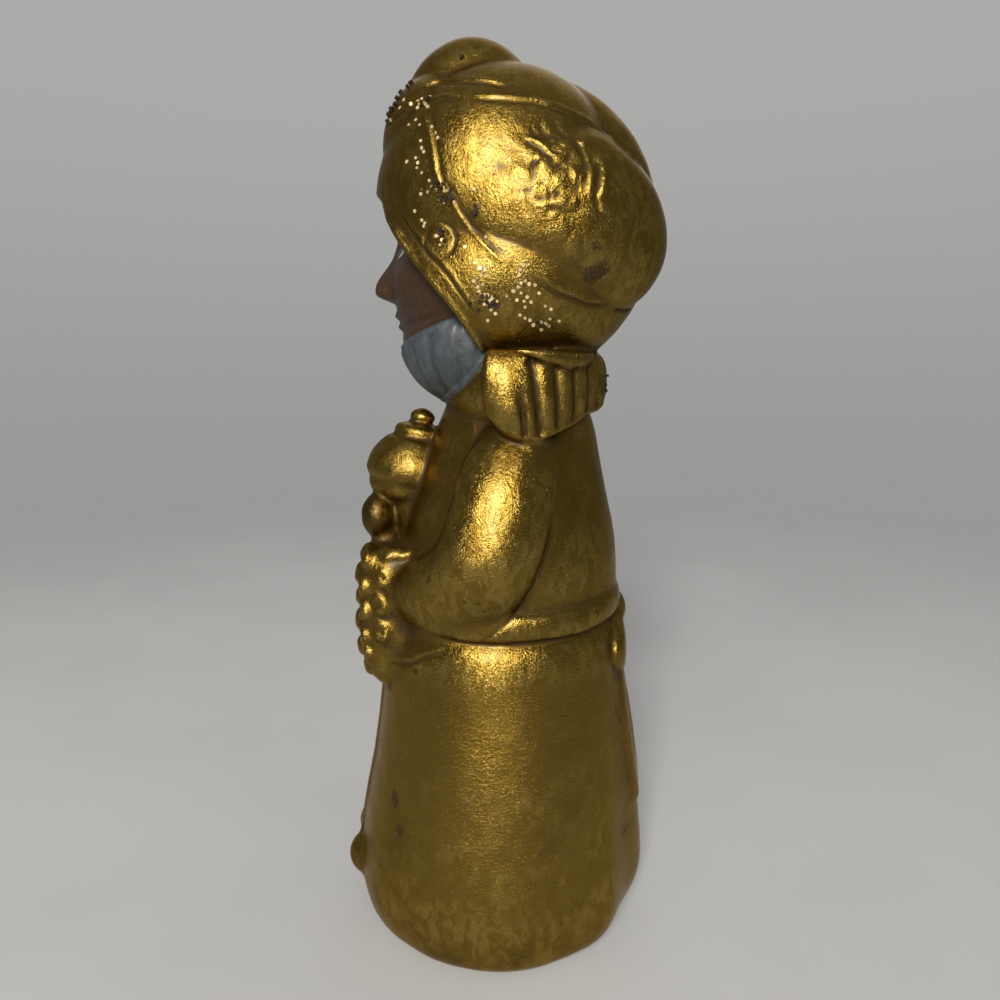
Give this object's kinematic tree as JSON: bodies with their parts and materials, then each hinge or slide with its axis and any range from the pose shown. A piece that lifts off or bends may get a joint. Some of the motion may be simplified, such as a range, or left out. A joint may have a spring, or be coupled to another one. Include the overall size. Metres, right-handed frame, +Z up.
{
  "type": "nativity wise man figurine",
  "caption": "Standing figurine of a turbaned wise man in a long robe, holding a covered jar; cast in one piece and painted gold.",
  "frame": {"origin": "centre of the flat underside, on the surface that the figurine stands on", "axes": "+Z up; the figure faces -Y and its left hand is on the +X side"},
  "size_m": [0.0746, 0.0724, 0.1995],
  "materials": {
    "gold_paint": "satin metallic gold paint, with a dark brown face and hands and a slate grey beard",
    "glitter": "glossy metallic flakes"
  },
  "bodies": {
    "root": {"wise_man_figurine": "gold_paint"}
  },
  "joints": []
}
